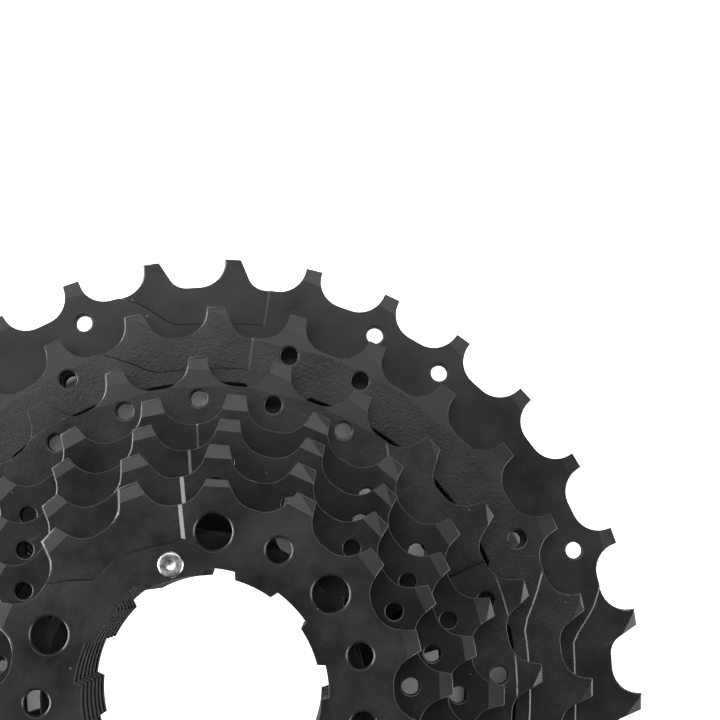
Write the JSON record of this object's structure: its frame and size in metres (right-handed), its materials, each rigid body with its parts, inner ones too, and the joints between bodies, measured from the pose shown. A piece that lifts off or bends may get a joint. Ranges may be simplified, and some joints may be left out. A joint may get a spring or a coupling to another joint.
{
  "type": "cassette sprocket cluster",
  "caption": "Riveted cluster of stepped toothed sprockets on a splined bore, with spacer rings between them, as fitted to the rear hub of a bicycle.",
  "frame": {"origin": "middle of the back face of the largest sprocket, on the wheel axis", "axes": "+Z along the wheel axis, from the largest sprocket towards the smallest; +X and +Y across it, with one groove of the splined bore centred 4.5 degrees from +X towards +Y"},
  "size_m": [0.1306, 0.1306, 0.0283],
  "materials": {
    "sprocket_steel": "satin black coated steel",
    "spacer_polymer": "matt black moulded",
    "rivet_steel": "bright rolled steel"
  },
  "bodies": {
    "root": {"sprocket_15t": "sprocket_steel", "sprocket_17t": "sprocket_steel", "sprocket_19t": "sprocket_steel", "sprocket_21t": "sprocket_steel", "sprocket_24t": "sprocket_steel", "sprocket_28t": "sprocket_steel", "sprocket_32t": "sprocket_steel", "spacer_15t_17t": "spacer_polymer", "spacer_17t_19t": "spacer_polymer", "spacer_19t_21t": "spacer_polymer", "spacer_21t_24t": "spacer_polymer", "spacer_24t_28t": "spacer_polymer", "spacer_28t_32t": "spacer_polymer", "rivet_1": "rivet_steel", "rivet_2": "rivet_steel", "rivet_3": "rivet_steel"}
  },
  "joints": []
}
